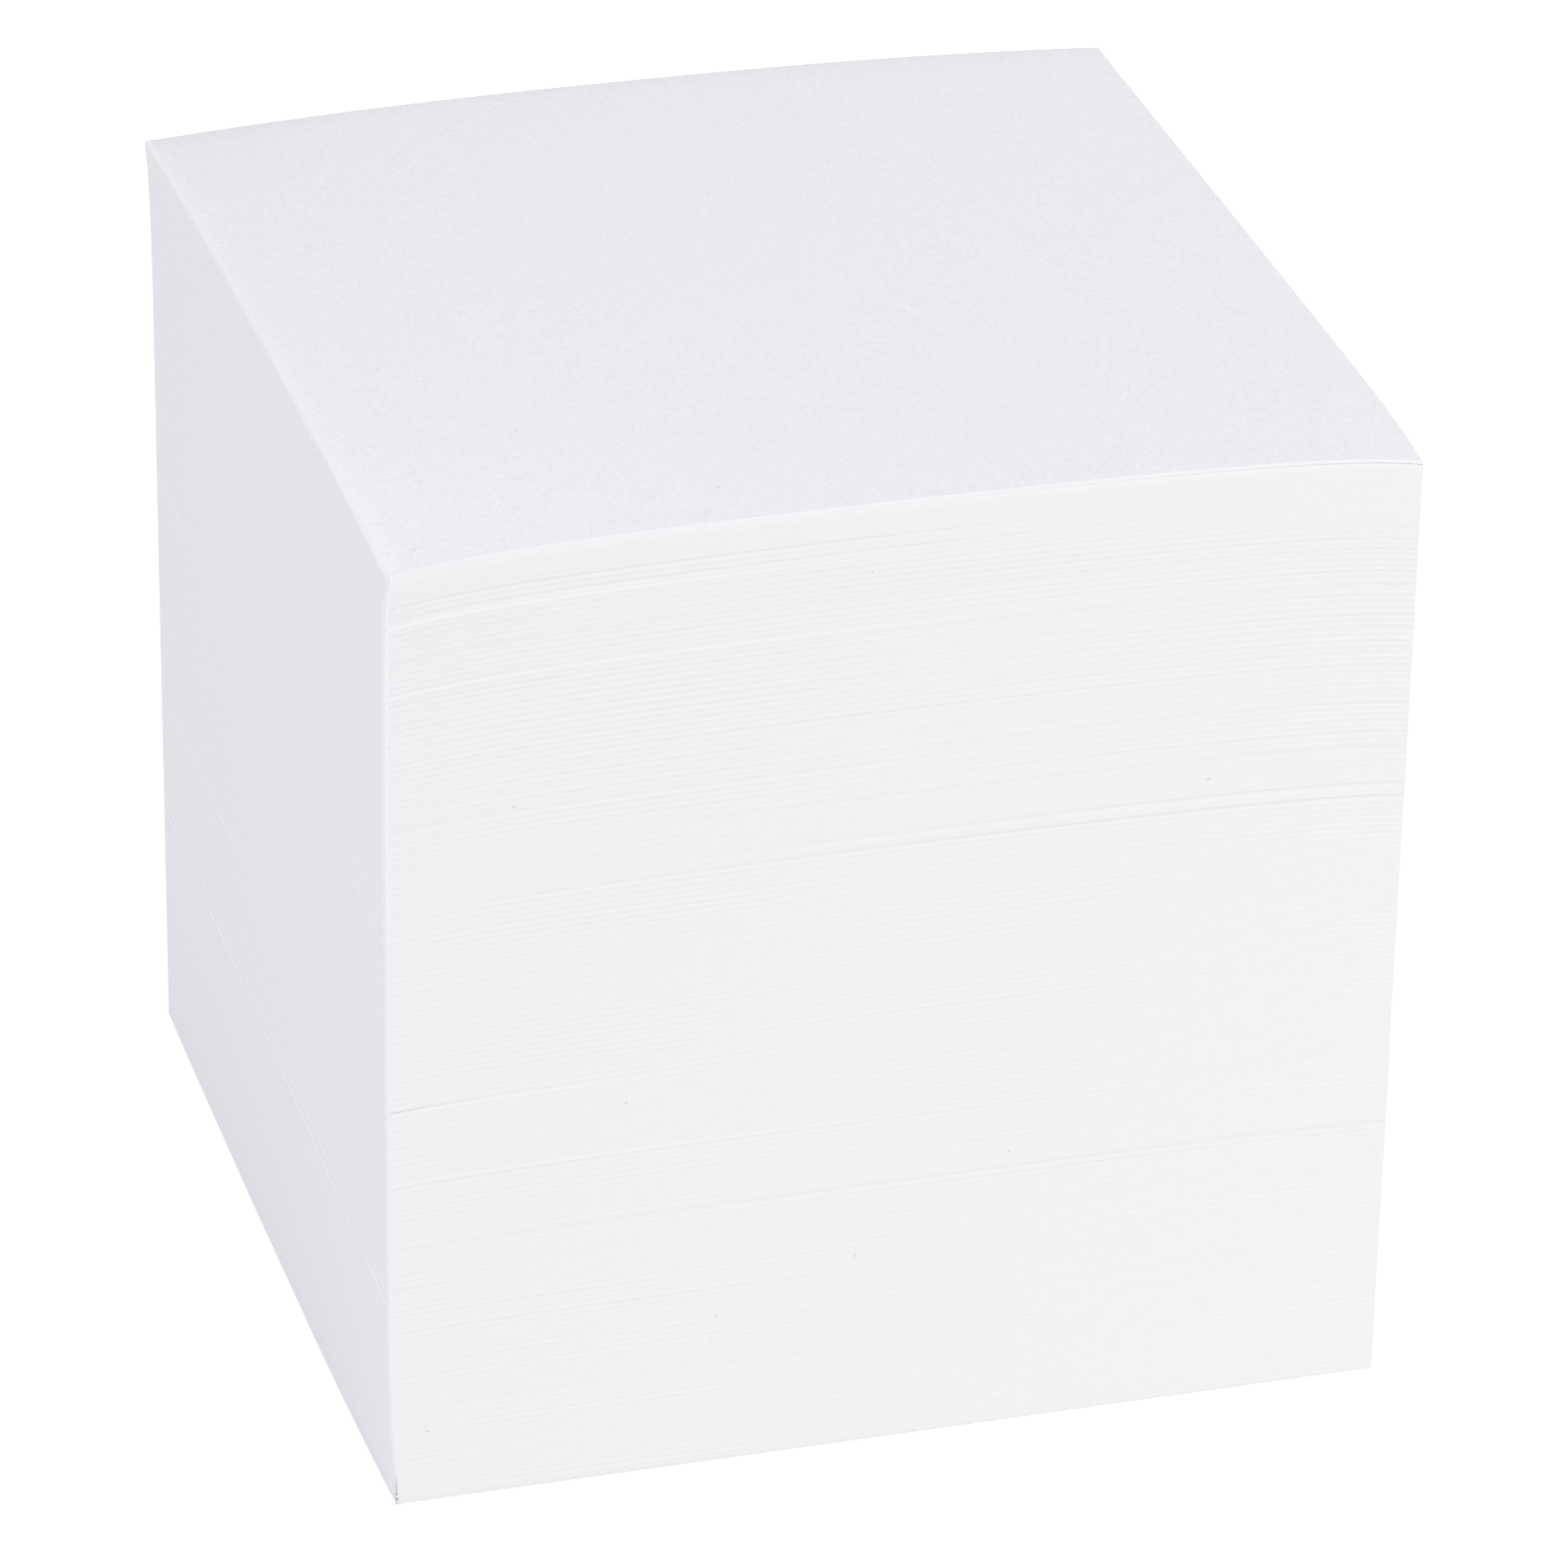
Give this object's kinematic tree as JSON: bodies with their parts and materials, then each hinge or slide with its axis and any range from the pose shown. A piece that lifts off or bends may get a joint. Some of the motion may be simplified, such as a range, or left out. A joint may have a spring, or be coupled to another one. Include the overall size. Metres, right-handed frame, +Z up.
{
  "type": "memo cube",
  "caption": "Square block of loose white note paper sheets with a slightly crowned top, held along one side by a thin film of padding glue.",
  "frame": {"origin": "middle of the bottom face", "axes": "+X to the right along the front edge, +Y from the front to the back, +Z up the stack; the glued face is on the left, towards -X"},
  "size_m": [0.091, 0.09, 0.0924],
  "materials": {
    "sheets": "uncoated white note paper, matt",
    "padding_glue": "dried white padding glue, matt, slightly smoother than the paper"
  },
  "bodies": {
    "root": {"sheet_block": "sheets", "glue_edge": "padding_glue"}
  },
  "joints": []
}
